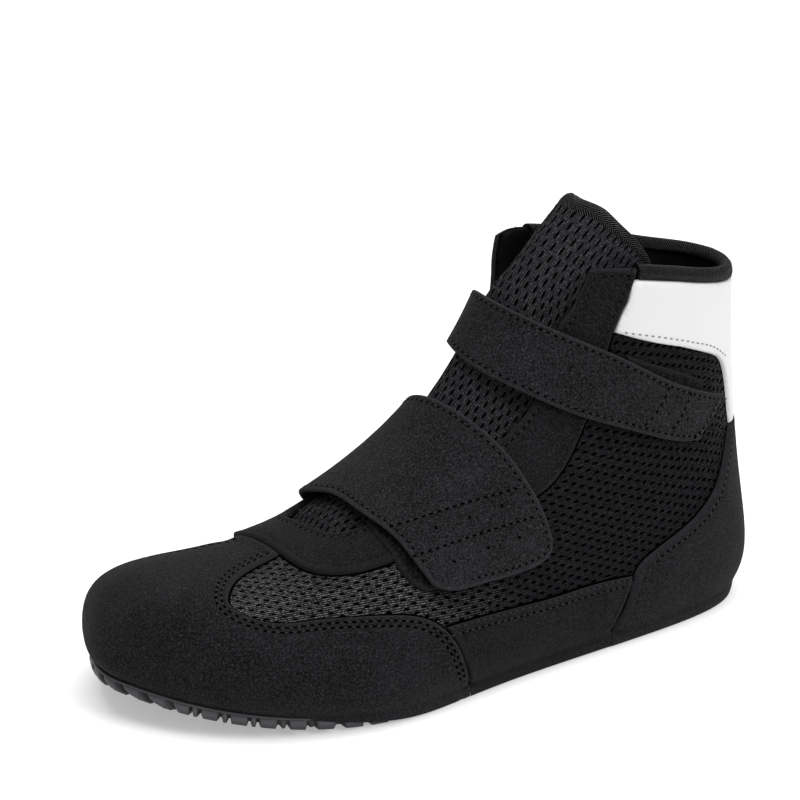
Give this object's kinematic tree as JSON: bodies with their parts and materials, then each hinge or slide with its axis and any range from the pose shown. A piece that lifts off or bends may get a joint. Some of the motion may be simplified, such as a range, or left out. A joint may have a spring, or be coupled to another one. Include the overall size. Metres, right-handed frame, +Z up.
{
  "type": "wrestling shoe",
  "caption": "High-top wrestling shoe for the left foot: black mesh and suede upper, white heel panel, hook-and-loop straps and a thin rubber sole.",
  "frame": {"origin": "the middle of the flat heel pad under the sole, on the floor plane", "axes": "+X forward to the toe, +Y to the outer side of the foot, +Z up"},
  "size_m": [0.2824, 0.1171, 0.1686],
  "materials": {
    "outsole": "matte",
    "insole": "matte",
    "upper": "open mesh",
    "toe_cap": "suede",
    "eyestay": "suede",
    "side_rand_outer": "suede",
    "side_rand_inner": "suede",
    "heel_counter": "suede",
    "heel_panel": "smooth white",
    "collar_binding": "ribbed tape",
    "tongue": "open mesh",
    "ankle_loop_pad": "loop pile",
    "instep_loop_pad": "loop pile",
    "ankle_strap": "suede",
    "instep_strap": "suede"
  },
  "bodies": {
    "root": {"outsole": "outsole", "insole": "insole", "upper": "upper", "toe_cap": "toe_cap", "eyestay": "eyestay", "side_rand_outer": "side_rand_outer", "side_rand_inner": "side_rand_inner", "heel_counter": "heel_counter", "heel_panel": "heel_panel", "collar_binding": "collar_binding", "tongue": "tongue", "ankle_loop_pad": "ankle_loop_pad", "instep_loop_pad": "instep_loop_pad", "ankle_strap": "ankle_strap", "instep_strap": "instep_strap"}
  },
  "joints": []
}
